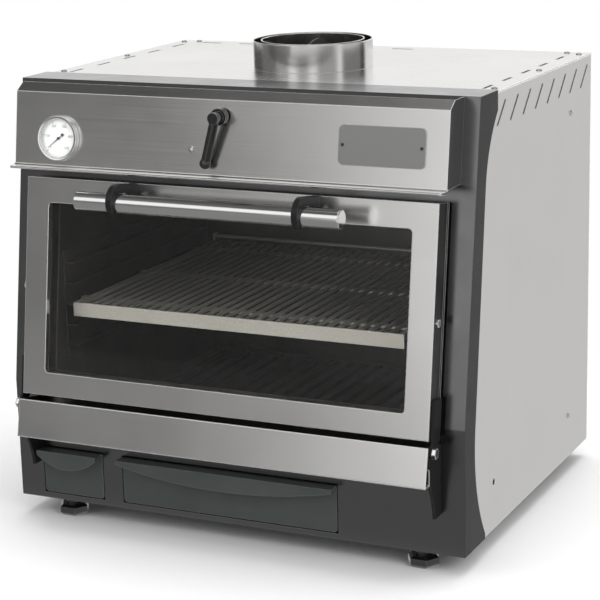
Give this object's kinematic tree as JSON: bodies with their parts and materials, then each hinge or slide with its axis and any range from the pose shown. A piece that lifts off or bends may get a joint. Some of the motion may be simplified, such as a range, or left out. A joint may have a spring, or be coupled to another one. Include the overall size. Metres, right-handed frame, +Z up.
{
  "type": "charcoal oven",
  "caption": "Countertop charcoal oven with a leaning front, drop-down windowed door, grill rack, flue damper, drip tray and ash drawers.",
  "frame": {"origin": "on the floor under the middle of the oven's box", "axes": "+X to the oven's right as seen from the front, +Y to the back, +Z up; the front faces -Y"},
  "size_m": [0.7, 0.6145, 0.6785],
  "materials": {
    "stainless": "brushed",
    "badge": "satin",
    "black_paint": "semi gloss",
    "feet": "satin",
    "drawer_paint": "satin",
    "cavity_steel": "heat darkened",
    "wool": "mineral wool",
    "gasket": "woven fibre",
    "polished": "polished",
    "window_glass": "dark",
    "dial_glass": "clear",
    "dial": "white enamel",
    "needle": "matt black",
    "rack_steel": "welded",
    "grate_iron": "cast"
  },
  "bodies": {
    "oven": {"side_panel_left": "stainless", "side_panel_right": "stainless", "top_panel": "stainless", "back_panel": "stainless", "control_panel": "stainless", "flue_collar": "stainless", "flue_pipe": "stainless", "drip_tray": "stainless", "badge_screws": "stainless", "panel_screws": "stainless", "stop_rivet": "stainless", "badge_plate": "badge", "front_frame": "black_paint", "base_pan": "black_paint", "hinge_ear_left": "black_paint", "hinge_ear_right": "black_paint", "foot_front_left": "feet", "foot_front_right": "feet", "foot_back_left": "feet", "foot_back_right": "feet", "cavity_left": "cavity_steel", "cavity_right": "cavity_steel", "cavity_back": "cavity_steel", "cavity_roof": "cavity_steel", "cavity_floor": "cavity_steel", "cavity_supports": "cavity_steel", "damper_bush_front": "cavity_steel", "damper_bush_rear": "cavity_steel", "rack_guide_left": "cavity_steel", "rack_guide_right": "cavity_steel", "ash_drawer_rails": "cavity_steel", "air_drawer_rails": "cavity_steel", "insulation": "wool", "hinge_bolts": "polished", "thermometer_case": "polished", "foot_nuts": "polished", "thermometer_glass": "dial_glass", "thermometer_dial": "dial", "charcoal_grate": "grate_iron"},
    "door": {"door_skin": "stainless", "door_pan": "black_paint", "door_glass": "window_glass", "glass_retainer": "cavity_steel", "door_gasket": "gasket", "door_side_bolts": "polished", "handle_bar": "polished", "handle_bracket_left": "black_paint", "handle_bracket_right": "black_paint", "door_lug_left": "black_paint", "door_lug_right": "black_paint"},
    "damper": {"damper_lever": "black_paint", "damper_rod": "cavity_steel", "damper_disc": "cavity_steel"},
    "ash_drawer": {"ash_drawer_front": "drawer_paint", "ash_drawer_box": "drawer_paint"},
    "air_drawer": {"air_drawer_front": "drawer_paint", "air_drawer_box": "drawer_paint"},
    "rack": {"grill_rack": "rack_steel"},
    "needle": {"thermometer_needle": "needle"}
  },
  "joints": [
    {"name": "door_hinge", "type": "hinge", "parent": "oven", "child": "door", "pos_m": [0, -0.27775, 0.1837], "axis": [1, 0, 0], "range_deg": [0, 98]},
    {"name": "damper_turn", "type": "hinge", "parent": "oven", "child": "damper", "pos_m": [0, 0.06225, 0.6085], "axis": [0, 1, 0], "range_deg": [0, 85]},
    {"name": "ash_drawer_slide", "type": "slide", "parent": "oven", "child": "ash_drawer", "axis": [0, -1, 0], "range_m": [0, 0.3]},
    {"name": "air_drawer_slide", "type": "slide", "parent": "oven", "child": "air_drawer", "axis": [0, -1, 0], "range_m": [0, 0.3]},
    {"name": "rack_slide", "type": "slide", "parent": "oven", "child": "rack", "axis": [0, -1, 0], "range_m": [-0.014, 0.02]},
    {"name": "needle_turn", "type": "hinge", "parent": "oven", "child": "needle", "pos_m": [-0.255, -0.23728, 0.5662], "axis": [0, 0.9893, -0.1456], "range_deg": [0, 270]}
  ]
}
